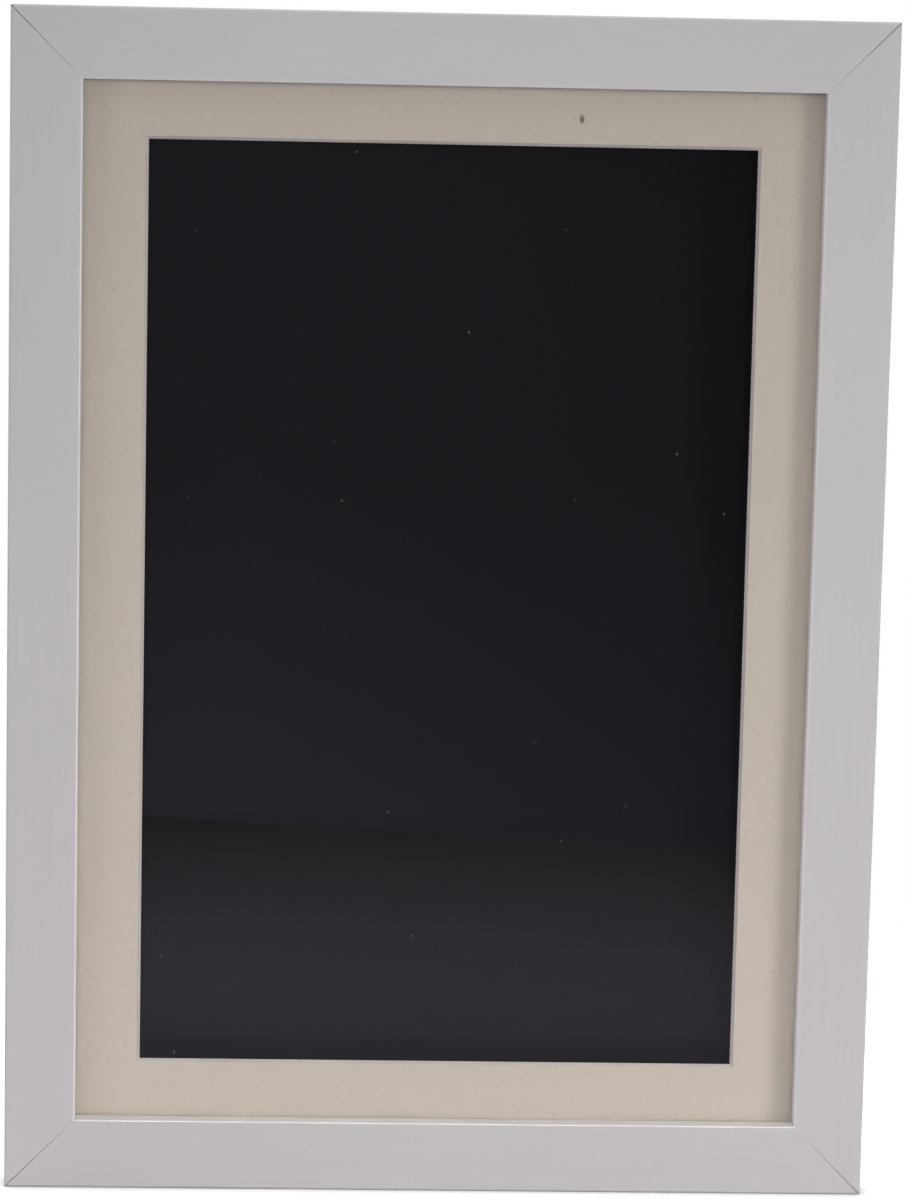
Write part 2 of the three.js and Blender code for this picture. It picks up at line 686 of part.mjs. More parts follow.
function makeTray() {
  const tray = new THREE.Group();
  tray.position.y = trayRim;
  const panelX = recessW / 2 + PANEL_LAP - PANEL_PLAY;
  const panelZ = recessH / 2 + PANEL_LAP - PANEL_PLAY;
  const panelY = RECESS_DEPTH + SEAT;
  const panel = block([-panelX, panelY, -panelZ], [panelX, panelY + PANEL_T, panelZ]);
  tray.add(piece('back_panel', panel, BLACK_BOARD));
  const filmBack = panelY - SEAT;
  const film = block([-SHEET_W / 2, filmBack - FILM_T, -SHEET_H / 2], [SHEET_W / 2, filmBack, SHEET_H / 2]);
  tray.add(piece('backing_film', film, CLEAR));
  for (const [word, x] of [['left', -strapX], ['right', strapX]]) {
    tray.add(placed(piece(`strap_${word}`, strap(), DARK_ELASTIC), x, 0, 0));
  }
  const sides = makeSides(tray, trayW, trayH);
  for (const [sideName, { group, length }] of Object.entries(sides)) {
    group.add(piece(`tray_${sideName}_${RAIL_WORD[sideName]}`, trayRail(sideName, length), BLACK_PAINT));
  }
  for (const sideName of ['top', 'bottom']) {
    for (const way of [-1, 1]) {
      const holder = piece(`strap_staple_${sideName}_${HALVES[sideName][way]}`, staple(), ZINC);
      sides[sideName].group.add(placed(holder, way * strapX, 0, -TRAY_RAIL_W));
    }
  }
  for (const [sideName, word] of [['top', 'upright'], ['left', 'sideways']]) {
    const { group } = sides[sideName];
    group.add(placed(piece(`hanger_${word}`, hanger(), ZINC), 0, trayDepth, -hangerInset));
    for (const way of [-1, 1]) {
      const pin = piece(`hanger_nail_${word}_${HALVES[sideName][way]}`, nail(0), ZINC);
      group.add(placed(pin, way * nailAt, trayDepth + SEAT + HANGER_T + FIT, -hangerInset));
    }
  }
  for (const way of [-1, 1]) {
    const x = way * hingeAt;
    const half = HALVES.left[way];
    const pinY = -PARTING / 2;
    sides.left.group.add(
      placed(piece(`hinge_${half}_tray_leaf`, hingeLeaf(1), BRIGHT_STEEL), x, pinY, HINGE_SETOUT),
      placed(piece(`hinge_${half}_pin`, hingePin(), BRIGHT_STEEL), x, pinY, HINGE_SETOUT),
    );
    for (const end of [-1, 1]) {
      const fastener = piece(`hinge_${half}_tray_screw_${HALVES.left[end]}`, screw(), BRIGHT_STEEL);
      sides.left.group.add(placed(fastener, x + end * LEAF_SCREW_X, 0, HINGE_SETOUT - LEAF_SCREW_IN));
    }
    const magnet = piece(`magnet_${HALVES.right[way]}`, disc(MAGNET_R, 0, MAGNET_T), BRIGHT_STEEL);
    sides.right.group.add(placed(magnet, way * catchAt, 0, OVERHANG - catchInset));
  }
  for (const [zWord, sz] of [['top', 1], ['bottom', -1]]) {
    for (const [xWord, sx] of [['left', -1], ['right', 1]]) {
      const x = sx * (trayW / 2 - BUMPER_INSET);
      const z = sz * (trayH / 2 - BUMPER_INSET);
      tray.add(placed(piece(`bumper_${zWord}_${xWord}`, bumper(), RUBBER), x, trayDepth + SEAT, z));
    }
  }
  return tray;
}

const frame = new THREE.Group();
frame.position.z = -hangHeight;
frame.add(makeTray(), makeDoor());

export default frame;
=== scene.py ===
# %% [markdown]
# A frame for children's drawings. Its front is a glazed door in a silver moulding, which swings
# open in front of a black tray that stores the drawings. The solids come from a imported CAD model
# and stay where they are: this lesson gives them a camera, light and finishes, and makes the few
# pieces that need a finer or softer form.

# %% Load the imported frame
from math import cos, degrees, pi, radians, sin

import bmesh
import bpy
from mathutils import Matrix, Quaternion, Vector, noise


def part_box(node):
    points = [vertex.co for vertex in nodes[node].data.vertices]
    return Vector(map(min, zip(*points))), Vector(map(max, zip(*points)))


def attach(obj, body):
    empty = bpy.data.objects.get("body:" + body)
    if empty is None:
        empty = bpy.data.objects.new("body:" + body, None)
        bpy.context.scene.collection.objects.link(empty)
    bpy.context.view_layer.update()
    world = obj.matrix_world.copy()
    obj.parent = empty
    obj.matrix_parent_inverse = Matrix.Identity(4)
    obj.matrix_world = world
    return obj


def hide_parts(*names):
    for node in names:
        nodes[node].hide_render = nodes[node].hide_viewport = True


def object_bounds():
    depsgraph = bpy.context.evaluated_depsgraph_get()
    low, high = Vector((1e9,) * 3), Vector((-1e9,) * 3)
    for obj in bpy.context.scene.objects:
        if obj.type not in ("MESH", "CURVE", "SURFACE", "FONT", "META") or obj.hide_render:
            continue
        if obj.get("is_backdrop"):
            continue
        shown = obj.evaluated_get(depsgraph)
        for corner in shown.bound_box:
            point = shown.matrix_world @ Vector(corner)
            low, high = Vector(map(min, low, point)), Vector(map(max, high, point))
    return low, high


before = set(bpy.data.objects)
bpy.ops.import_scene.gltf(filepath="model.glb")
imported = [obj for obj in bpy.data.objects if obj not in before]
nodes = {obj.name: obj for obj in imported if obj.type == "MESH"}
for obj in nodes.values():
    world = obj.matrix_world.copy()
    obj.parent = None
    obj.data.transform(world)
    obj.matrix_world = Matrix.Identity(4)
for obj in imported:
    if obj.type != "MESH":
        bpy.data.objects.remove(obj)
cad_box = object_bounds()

MM = 0.001
scene = bpy.context.scene
scene.view_settings.view_transform = "Standard"

# %% [markdown]
# Everything below takes its places from the solids. The box round the door gives the middle of the
# frame, which the lamps aim at and which the finishes measure their edges from. The box round the
# tray gives the corners that its wedges sit in.

# %% Places that the solids give
DOOR_RAILS = ["door_top_rail", "door_bottom_rail"]
DOOR_STILES = ["door_left_stile", "door_right_stile"]
TRAY_RAILS = ["tray_top_rail", "tray_bottom_rail", "tray_left_stile", "tray_right_stile"]


def box_round(names):
    """Lowest and highest corner of the box round several solids."""
    corners = [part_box(name) for name in names]
    lows = [low for low, high in corners]
    highs = [high for low, high in corners]
    low = Vector([min(corner[axis] for corner in lows) for axis in range(3)])
    high = Vector([max(corner[axis] for corner in highs) for axis in range(3)])
    return low, high


door_low, door_high = box_round(DOOR_RAILS + DOOR_STILES)
tray_low, tray_high = box_round(TRAY_RAILS)
middle = (door_low + door_high) / 2
door_size = [round(size / MM, 1) for size in door_high - door_low]
print("door", door_size, "mm, middle at z", round(middle.z, 4))

# %% [markdown]
# The photograph was taken from about two metres with a long lens, a little above the frame and a
# little to its left. A camera can be fitted by eye, but the corners of the moulding and of the mat
# are straight and sharp, so the distance, the lens and the small roll were solved from them and are
# written here as sizes.

# %% Camera
LENS = 126.0
CAMERA_AT = Vector((-0.0804, -2.0344, 0.0531))
LOOK_AT = Vector((0.0033, -0.0415, -0.2438))
CAMERA_ROLL = radians(1.22)

camera_data = bpy.data.cameras.new("camera")
camera_data.lens = LENS
camera = bpy.data.objects.new("camera", camera_data)
scene.collection.objects.link(camera)
camera.location = CAMERA_AT
camera.rotation_mode = "QUATERNION"
look = (LOOK_AT - CAMERA_AT).to_track_quat("-Z", "Y")
camera.rotation_quaternion = look @ Quaternion((0, 0, 1), CAMERA_ROLL)
scene.camera = camera
print("camera", round((LOOK_AT - CAMERA_AT).length, 3), "m away, lens of", LENS, "mm")

# %% Where the corners land in the picture
PICTURE = (906, 1200)


def picture_place(point):
    """Where a point of the frame lands in the picture, in its pixels from the top left."""
    local = camera.rotation_quaternion.inverted() @ (Vector(point) - CAMERA_AT)
    scale = max(PICTURE) * LENS / camera_data.sensor_width / -local.z
    return round(PICTURE[0] / 2 + local.x * scale, 1), round(PICTURE[1] / 2 - local.y * scale, 1)


for corner_x in (door_low.x, door_high.x):
    for corner_z in (door_low.z, door_high.z):
        print("corner of the door at", picture_place((corner_x, door_low.y, corner_z)))

# %% [markdown]
# A material here is a small tree of nodes. Nodes can be placed one by one, but a helper that adds a
# node, links the inputs given as sockets and sets the rest keeps each finish short enough to read
# as a recipe. Colours are written as they show on a screen, because that is how they were judged.

# %% Helpers that add nodes


def add(tree, kind, inputs=(), **settings):
    """Adds one shader node. An input given as a socket is linked, and any other is set."""
    made = tree.nodes.new("ShaderNode" + kind)
    for key, value in settings.items():
        setattr(made, key, value)
    for key, value in dict(inputs).items():
        if isinstance(value, bpy.types.NodeSocket):
            tree.links.new(value, made.inputs[key])
        else:
            made.inputs[key].default_value = value
    return made


def colour(red, green, blue):
    """A colour as it shows on a screen, from 0 to 255, as the linear value that a shader takes."""
    linear = []
    for level in (red, green, blue):
        share = level / 255
        linear.append(share / 12.92 if share <= 0.04045 else ((share + 0.055) / 1.055) ** 2.4)
    return (*linear, 1.0)


def maths(tree, operation, first, second=0.0):
    return add(tree, "Math", {0: first, 1: second}, operation=operation).outputs[0]


def spread(tree, value, low, high, to_low=0.0, to_high=1.0):
    """Maps a value from one range to another, and stops at the ends."""
    ends = {"From Min": low, "From Max": high, "To Min": to_low, "To Max": to_high}
    return add(tree, "MapRange", {"Value": value, **ends}).outputs[0]


def mixed(tree, share, first, second):
    return add(tree, "Mix", {0: share, 6: first, 7: second}, data_type="RGBA").outputs[2]


print("middle grey as a shader takes it:", round(colour(128, 128, 128)[0], 3))

# %% Helpers for textures and finishes
CLOUD_ENDS = (0.3, 0.7)


def cloud(tree, place, scale, detail=2.0):
    """Soft noise from 0 to 1. Its scale is a number of lumps per metre."""
    return add(tree, "TexNoise", {"Vector": place, "Scale": scale, "Detail": detail}).outputs[0]


def patches(tree, place, scale, detail=2.0):
    """The same noise, drawn apart so that it reaches 0 and 1."""
    return spread(tree, cloud(tree, place, scale, detail), *CLOUD_ENDS)


def stretched(tree, place, scale):
    return add(tree, "Mapping", {"Vector": place, "Scale": scale}).outputs[0]


def parts(tree, vector):
    """The X, Y and Z of a place or of a direction."""
    return add(tree, "SeparateXYZ", {0: vector}).outputs


def facing(tree):
    """The way that a face of the solid points."""
    return parts(tree, add(tree, "TexCoord").outputs["Normal"])


def new_finish(name, metallic=0.0, roughness=0.5):
    """A material with one Principled shader, and the place that its texture starts from."""
    made = bpy.data.materials.new(name)
    made.use_nodes = True
    tree = made.node_tree
    shader = tree.nodes["Principled BSDF"]
    shader.inputs["Metallic"].default_value = metallic
    shader.inputs["Roughness"].default_value = roughness
    return made, tree, shader, add(tree, "TexCoord").outputs["Object"]


def roughen(tree, shader, height, depth, strength=1.0):
    """Puts a fine relief on a surface. Its depth is in metres."""
    relief = add(tree, "Bump", {"Height": height, "Distance": depth, "Strength": strength})
    tree.links.new(relief.outputs[0], shader.inputs["Normal"])


print("helpers ready, materials so far:", len(bpy.data.materials))

# %% [markdown]
# The frame stands on a pale table in front of a white ground, and the lower part of the pane
# mirrors that table. A white table would mirror too brightly, so it is grey, with a painted shade
# that darkens it towards its front edge, and only what the camera sees of it is lifted to white.
# Ambient occlusion takes the lift away again in the narrow line where the frame touches it.

# %% What counts as background


def background_share(tree, behind):
    """1 where the white ground shows: straight, through a clear sheet, or behind the frame in metal."""
    rays = add(tree, "LightPath").outputs
    straight = maths(tree, "MAXIMUM", rays["Is Camera Ray"], rays["Is Transmission Ray"])
    mirrored = maths(tree, "MULTIPLY", rays["Is Glossy Ray"], behind)
    return maths(tree, "MAXIMUM", straight, mirrored)


print("the white ground is seen straight, through clear sheets and mirrored behind the frame")

# %% Table
TABLE_FRONT = 0.85
TABLE_BACK = 0.55
TABLE_SIDE = 1.4
TABLE_TURN = radians(-15)
TABLE_SHADE_WIDTH = 0.46
TABLE_GREY = colour(188, 180, 198)
# Painted shade: the colour of the table at its front edge, fading to its plain grey further back.
TABLE_EDGE_SHADE = colour(78, 76, 80)
TABLE_SEEN = colour(165, 165, 165)
TABLE_LIFT = 0.76
TABLE_MATT = 0.9
CONTACT = 7 * MM
CONTACT_RAYS = 8
table_z = cad_box[0].z
table_y = cad_box[0].y - TABLE_FRONT


def table_top():
    made, tree, shader, place = new_finish("table_top", roughness=TABLE_MATT)
    at = parts(tree, place)
    slant = maths(tree, "MULTIPLY", at["X"], sin(TABLE_TURN))
    from_edge = maths(tree, "ADD", at["Y"], slant)
    # Painted shade towards the front edge, seen in the pane's reflection and in the light the table
    # bounces.
    painted_edge_shade = spread(tree, from_edge, table_y, table_y + TABLE_SHADE_WIDTH)
    seen = background_share(tree, maths(tree, "GREATER_THAN", at["Y"], cad_box[0].y))
    both = mixed(tree, seen, mixed(tree, painted_edge_shade, TABLE_EDGE_SHADE, TABLE_GREY), TABLE_SEEN)
    tree.links.new(both, shader.inputs["Base Color"])
    open_sky = add(tree, "AmbientOcclusion", {"Distance": CONTACT}, samples=CONTACT_RAYS).outputs["AO"]
    lift = maths(tree, "MULTIPLY", maths(tree, "MULTIPLY", seen, open_sky), TABLE_LIFT)
    shader.inputs["Emission Color"].default_value = (1, 1, 1, 1)
    tree.links.new(lift, shader.inputs["Emission Strength"])
    return made


skew = TABLE_SIDE * sin(TABLE_TURN)
table_mesh = bpy.data.meshes.new("table")
table_mesh.from_pydata([
    (-TABLE_SIDE, table_y + skew, table_z),
    (TABLE_SIDE, table_y - skew, table_z),
    (TABLE_SIDE, TABLE_BACK, table_z),
    (-TABLE_SIDE, TABLE_BACK, table_z),
], [], [(0, 1, 2, 3)])
table_mesh.materials.append(table_top())
table = bpy.data.objects.new("table", table_mesh)
scene.collection.objects.link(table)
table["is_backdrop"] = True
print("table", [round(size, 2) for size in table.dimensions], "at z", round(table_z, 4))

# %% [markdown]
# The room fills the shade and is mirrored by the pane. Walls could be built, but a world shader
# does the same with a few mixes: dim in front, because the pane in the photograph mirrors a dim
# room, a little brighter low down and to the left, and pale behind. The camera, and metal that
# looks past the frame, see plain white.

# %% Room
ROOM_HIGH = (0.143, 0.137, 0.168, 1.0)
ROOM_LOW = (0.295, 0.287, 0.368, 1.0)
WALL_BEHIND = (0.9, 0.9, 0.9, 1.0)
LOW_PART = (-0.12, -0.22)
LEFT_PART = (0.11, -0.04)
LEFT_LIGHT = (0.70, 1.34)
BEHIND_PART = (-0.1, 0.5)

room = bpy.data.worlds.new("room")
scene.world = room
room.use_nodes = True
tree = room.node_tree
tree.nodes.clear()
way = parts(tree, add(tree, "TexCoord").outputs["Generated"])
in_front = mixed(tree, spread(tree, way["Z"], *LOW_PART), ROOM_HIGH, ROOM_LOW)
behind = spread(tree, way["Y"], *BEHIND_PART)
walls = mixed(tree, behind, in_front, WALL_BEHIND)
from_left = spread(tree, way["X"], *LEFT_PART, *LEFT_LIGHT)
dim = add(tree, "Background", {"Color": walls, "Strength": from_left})
white = add(tree, "Background", {"Color": (1, 1, 1, 1), "Strength": 1.0})
seen = background_share(tree, behind)
both = add(tree, "MixShader", {0: seen, 1: dim.outputs[0], 2: white.outputs[0]})
add(tree, "OutputWorld", {"Surface": both.outputs[0]})
print("room:", len(tree.nodes), "nodes")

# %% [markdown]
# The light is soft, and a faint shade lies along the mat under the right and the top rail, with a
# weaker one on the left. So the key lamp stands on the right, a front lamp over the camera, a wide
# one high above it and a weak fill far to the left, all where the pane does not mirror them. They
# aim below the frame through grids that narrow their spread, because the photograph gets paler
# downwards. A lamp overhead lights the table, and one behind serves the views of the back.

# %% Lamps


def soft_lamp(name, at, towards, size, power, grid=180):
    """A square lamp, turned towards a point. A grid narrows its spread, in degrees."""
    data = bpy.data.lights.new(name, "AREA")
    data.shape = "SQUARE"
    data.size = size
    data.energy = power
    data.spread = radians(grid)
    lamp = bpy.data.objects.new(name, data)
    scene.collection.objects.link(lamp)
    lamp.location = at
    lamp.rotation_mode = "QUATERNION"
    lamp.rotation_quaternion = (Vector(towards) - Vector(at)).to_track_quat("-Z", "Y")
    print(name, "of", power, "W")


below_frame = (0.05, door_low.y, -0.78)
on_table = (0.10, -0.40, table_z)
soft_lamp("key_lamp", (2.00, -2.00, -0.10), below_frame, size=1.0, power=6.4, grid=70)
soft_lamp("front_lamp", (0.10, -2.40, 0.19), below_frame, size=0.4, power=2.2, grid=62)
soft_lamp("high_lamp", (0.10, -1.75, 1.35), below_frame, size=1.8, power=3.1, grid=90)
soft_lamp("fill_lamp", (-2.20, -1.80, -0.05), below_frame, size=1.3, power=3.0, grid=70)
soft_lamp("top_lamp", (0.15, -0.15, 2.2), on_table, size=0.9, power=16.0)
soft_lamp("back_lamp", (-1.2, 1.8, 1.3), middle, size=1.6, power=16.0)

# %% [markdown]
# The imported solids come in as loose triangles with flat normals. Their meshes stay untouched, so
# modifiers make them look machined: weld the triangles, ease the sharp edges by a fraction of a
# millimetre so that they catch the light, and shade the rest smooth. The shading is set by a short
# geometry-node group, which also drops the flat normals.

# %% Smooth faces
SHARP_FROM = radians(35)


def smooth_group():
    """A node group that drops the flat normals and keeps only the sharpest edges sharp."""
    group = bpy.data.node_groups.new("smooth_faces", "GeometryNodeTree")
    group.interface.new_socket("Geometry", in_out="INPUT", socket_type="NodeSocketGeometry")
    group.interface.new_socket("Geometry", in_out="OUTPUT", socket_type="NodeSocketGeometry")
    start = group.nodes.new("NodeGroupInput")
    end = group.nodes.new("NodeGroupOutput")
    angle = group.nodes.new("GeometryNodeInputMeshEdgeAngle")
    sharp = group.nodes.new("FunctionNodeCompare")
    sharp.operation = "GREATER_THAN"
    sharp.inputs[1].default_value = SHARP_FROM
    normal = group.nodes.new("GeometryNodeSetMeshNormal")
    normal.mode = "SHARPNESS"
    normal.inputs["Remove Custom"].default_value = True
    normal.inputs["Face Sharpness"].default_value = False
    group.links.new(start.outputs[0], normal.inputs["Mesh"])
    group.links.new(angle.outputs["Unsigned Angle"], sharp.inputs[0])
    group.links.new(sharp.outputs[0], normal.inputs["Edge Sharpness"])
    group.links.new(normal.outputs[0], end.inputs[0])
    return group


SMOOTH_FACES = smooth_group()
print("node group", SMOOTH_FACES.name, "with", len(SMOOTH_FACES.nodes), "nodes")

# %% Eased edges
WELD_WITHIN = 0.005 * MM
FLAT_WITHIN = radians(1)
EASE_STEPS = 2
FACE_WEIGHT = 100


def smooth(piece):
    piece.modifiers.new("smooth", "NODES").node_group = SMOOTH_FACES


def ease_edges(piece, width):
    """Welds a piece, rounds its sharp edges by that width and shades it smooth."""
    weld = piece.modifiers.new("weld", "WELD")
    weld.merge_threshold = WELD_WITHIN
    flat = piece.modifiers.new("flat", "DECIMATE")
    flat.decimate_type = "DISSOLVE"
    flat.angle_limit = FLAT_WITHIN
    bevel = piece.modifiers.new("ease", "BEVEL")
    bevel.width = width
    bevel.segments = EASE_STEPS
    bevel.limit_method = "ANGLE"
    bevel.angle_limit = SHARP_FROM
    smooth(piece)
    weighted = piece.modifiers.new("weighted", "WEIGHTED_NORMAL")
    weighted.weight = FACE_WEIGHT
    weighted.keep_sharp = True


def dress(names, finish, ease):
    """Gives solids their finish and their eased edges."""
    for name in names:
        piece = nodes[name]
        piece.data.materials.clear()
        piece.data.materials.append(finish)
        ease_edges(piece, ease)
    print(finish.name, "on", len(names), "pieces, edges eased by", round(ease / MM, 2), "mm")


print("edges that turn more than", round(degrees(SHARP_FROM)), "degrees are eased")

# %% [markdown]
# The moulding is fibreboard wrapped in a satin silver foil that has a very faint grain along each
# rail. Foil scatters light almost like paint, so the shader is only partly metallic. The foil
# covers the front and both edges. The back and the rabbet are bare board, and the cut mitres show
# as grey lines. A mask could be painted, but the direction and the depth of a face tell them apart
# in one material.

# %% Bare fibreboard
BOARD_LIGHT = colour(160, 131, 98)
BOARD_DARK = colour(138, 109, 79)
FIBRES = 2200.0
FIBRE_ENDS = (0.35, 0.65)
FOIL_RETURN = 3 * MM
LIP = 8.95 * MM


def bare_board(tree, place):
    """Colour of raw fibreboard: short matted fibres."""
    fibre = spread(tree, cloud(tree, place, FIBRES, detail=4.0), *FIBRE_ENDS)
    return mixed(tree, fibre, BOARD_DARK, BOARD_LIGHT)


def inside_mask(tree, place):
    """1 everywhere but along the outer edges of the door."""
    at = parts(tree, place)
    to_side = maths(tree, "SUBTRACT", door_high.x, maths(tree, "ABSOLUTE", at["X"]))
    off_middle = maths(tree, "ABSOLUTE", maths(tree, "SUBTRACT", at["Z"], middle.z))
    to_end = maths(tree, "SUBTRACT", door_high.z - middle.z, off_middle)
    return maths(tree, "GREATER_THAN", maths(tree, "MINIMUM", to_side, to_end), FOIL_RETURN)


def board_mask(tree, place):
    """1 where the foil stops: on the back of the rail and in its rabbet."""
    behind_lip = maths(tree, "GREATER_THAN", parts(tree, place)["Y"], door_low.y + LIP)
    return maths(tree, "MULTIPLY", inside_mask(tree, place), behind_lip)


print("foil stops", round(FOIL_RETURN / MM, 1), "mm round the back edge")

# %% Silver foil
FOIL_LIGHT = colour(188, 186, 183)
FOIL_DARK = colour(184, 182, 179)
FOIL_TONE = colour(180, 178, 177)
# Painted highlight: the paler foil given to faces round the sight edge, where the rounded arrises catch
# the light.
FOIL_EDGE_HIGHLIGHT = colour(221, 218, 216)
MITRE_GREY = colour(104, 100, 98)
FOIL_METAL = 0.18
TONE_PATCHES = 9.0
TONE_SHARE = 0.35
HIGHLIGHT_TILT = (0.999, 0.96)
MITRE_SLANT = 0.3
GRAIN_ALONG = 18.0
GRAIN_ACROSS = 2200.0
GRAIN_DEPTH = 0.008 * MM
FOIL_SATIN = (0.46, 0.54)
BOARD_MATT = 0.9
RAIL_EASE = 0.05 * MM


def foil_colour(tree, place, grain):
    """The foil's tone, with a painted highlight on the faces and rounded arrises round the sight edge,
    and grey on a mitre.
    """
    way = facing(tree)
    foil = mixed(tree, grain, FOIL_DARK, FOIL_LIGHT)
    uneven = maths(tree, "MULTIPLY", patches(tree, place, TONE_PATCHES), TONE_SHARE)
    foil = mixed(tree, uneven, foil, FOIL_TONE)
    # Painted highlight: faces inside the door that turn away from the front take the paler foil tone.
    turned_away = spread(tree, maths(tree, "ABSOLUTE", way["Y"]), *HIGHLIGHT_TILT)
    painted_sight_highlight = maths(tree, "MULTIPLY", turned_away, inside_mask(tree, place))
    foil = mixed(tree, painted_sight_highlight, foil, FOIL_EDGE_HIGHLIGHT)
    slant = maths(tree, "ABSOLUTE", maths(tree, "MULTIPLY", way["X"], way["Z"]))
    return mixed(tree, maths(tree, "GREATER_THAN", slant, MITRE_SLANT), foil, MITRE_GREY)


def silver_foil(name, grain_scale):
    made, tree, shader, place = new_finish(name)
    grain = patches(tree, stretched(tree, place, grain_scale), 1.0, detail=3.0)
    board = board_mask(tree, place)
    both = mixed(tree, board, foil_colour(tree, place, grain), bare_board(tree, place))
    tree.links.new(both, shader.inputs["Base Color"])
    satin = spread(tree, grain, 0.0, 1.0, *FOIL_SATIN)
    matt = maths(tree, "MAXIMUM", satin, maths(tree, "MULTIPLY", board, BOARD_MATT))
    tree.links.new(matt, shader.inputs["Roughness"])
    wrapped = maths(tree, "SUBTRACT", 1.0, board)
    tree.links.new(maths(tree, "MULTIPLY", wrapped, FOIL_METAL), shader.inputs["Metallic"])
    roughen(tree, shader, grain, GRAIN_DEPTH, strength=0.5)
    return made


foil_across = silver_foil("foil_across", (GRAIN_ALONG, GRAIN_ACROSS, GRAIN_ACROSS))
foil_upright = silver_foil("foil_upright", (GRAIN_ACROSS, GRAIN_ACROSS, GRAIN_ALONG))
dress(DOOR_RAILS, foil_across, RAIL_EASE)
dress(DOOR_STILES, foil_upright, RAIL_EASE)

# %% [markdown]
# The mat is cut from board: cream paper on a pale core, with the core showing along the slanted cut
# of the window. Three materials could be given face by face, but one that asks which way a face
# points needs no list of faces. The paper is mottled and slightly rough, and one small brown mark
# lies near its top edge.

# %% Small mark on the paper
MARK_AT = (0.0603, -0.0136)
MARK_SIZE = (1.2 * MM, 2.0 * MM)
DOT_AT = (0.0565, -0.0131)
DOT_SIZE = (0.8 * MM, 0.9 * MM)
DOT_SHARE = 0.25
SPOT_RIM = 1.6
SPOT_FULL = 0.1


def soft_spot(tree, place, centre, size):
    """1 in the middle of a small oval and 0 at its rim."""
    at = parts(tree, place)
    across = maths(tree, "DIVIDE", maths(tree, "SUBTRACT", at["X"], centre[0]), size[0])
    along = maths(tree, "DIVIDE", maths(tree, "SUBTRACT", at["Z"], centre[1]), size[1])
    squares = [maths(tree, "POWER", off, 2.0) for off in (across, along)]
    square = maths(tree, "ADD", *squares)
    return spread(tree, square, SPOT_RIM, SPOT_FULL)


# %% Mat board
PAPER_LIGHT = colour(188, 180, 165)
PAPER_DARK = colour(185, 177, 162)
CORE = colour(188, 180, 171)
MAT_BACK = colour(196, 194, 190)
MARK_BROWN = colour(104, 94, 76)
FULLY = 0.9
PAPER_MOTTLE = 260.0
PAPER_TOOTH = 1800.0
PAPER_DEPTH = 0.03 * MM
MAT_EASE = 0.08 * MM


def cream_mat():
    made, tree, shader, place = new_finish("cream_mat", roughness=0.92)
    mottle = patches(tree, place, PAPER_MOTTLE, detail=5.0)
    paper = mixed(tree, mottle, PAPER_DARK, PAPER_LIGHT)
    dot = maths(tree, "MULTIPLY", soft_spot(tree, place, DOT_AT, DOT_SIZE), DOT_SHARE)
    stain = maths(tree, "MAXIMUM", soft_spot(tree, place, MARK_AT, MARK_SIZE), dot)
    paper = mixed(tree, stain, paper, MARK_BROWN)
    way = facing(tree)
    front = maths(tree, "LESS_THAN", way["Y"], -FULLY)
    rear = maths(tree, "GREATER_THAN", way["Y"], FULLY)
    plain = mixed(tree, rear, CORE, MAT_BACK)
    tree.links.new(mixed(tree, front, plain, paper), shader.inputs["Base Color"])
    roughen(tree, shader, cloud(tree, place, PAPER_TOOTH, detail=3.0), PAPER_DEPTH, strength=0.4)
    return made


dress(["mat_board"], cream_mat(), MAT_EASE)

# %% [markdown]
# The pane is clear acrylic: almost all light goes straight through, and a little is mirrored, more
# of it at a slant. A glass shader would bend light and make the mat behind it noisy. Mixing a
# see-through and a glossy shader by Fresnel gives what is seen here and stays clean. A few specks
# of dust lie on it.

# %% Clear pane
PANE_IOR = 1.47
PANE_POLISH = 0.02
PANE_EASE = 0.15 * MM
SMEARS = 14.0
SMEAR_DULL = 1.8
DUST_SHARE = 0.6
DUST_SPACING = 0.09
DUST_SIZE = 0.45 * MM
LINT = colour(190, 190, 195)


def dust(tree, place, share):
    """Specks at scattered places on an upright sheet."""
    at = parts(tree, place)
    flat = add(tree, "CombineXYZ", {0: at["X"], 1: at["Z"]}).outputs[0]
    apart = {"Vector": flat, "Scale": 1 / DUST_SPACING}
    cell = add(tree, "TexVoronoi", apart, voronoi_dimensions="2D")
    return spread(tree, cell.outputs["Distance"], DUST_SIZE / DUST_SPACING, 0.0, 0.0, share)


def clear_sheet(name, ior, polish, haze, dust_share):
    """A see-through sheet with a glossy face, a share of haze and specks of dust."""
    made = bpy.data.materials.new(name)
    made.use_nodes = True
    tree = made.node_tree
    tree.nodes.clear()
    place = add(tree, "TexCoord").outputs["Object"]
    front = maths(tree, "SUBTRACT", 1.0, add(tree, "NewGeometry").outputs["Backfacing"])
    mirror = maths(tree, "MULTIPLY", add(tree, "Fresnel", {"IOR": ior}).outputs[0], front)
    clear = add(tree, "BsdfTransparent")
    smear = spread(tree, cloud(tree, place, SMEARS), *CLOUD_ENDS, polish, polish * SMEAR_DULL)
    gloss = add(tree, "BsdfGlossy", {"Roughness": smear, "Color": (1, 1, 1, 1)})
    both = add(tree, "MixShader", {0: mirror, 1: clear.outputs[0], 2: gloss.outputs[0]})
    veil = maths(tree, "MAXIMUM", dust(tree, place, dust_share), haze)
    lint = add(tree, "BsdfDiffuse", {"Color": LINT})
    sheet = add(tree, "MixShader", {0: veil, 1: both.outputs[0], 2: lint.outputs[0]})
    add(tree, "OutputMaterial", {"Surface": sheet.outputs[0]})
    return made


acrylic = clear_sheet("clear_acrylic", PANE_IOR, PANE_POLISH, haze=0.0, dust_share=DUST_SHARE)
dress(["glazing"], acrylic, PANE_EASE)

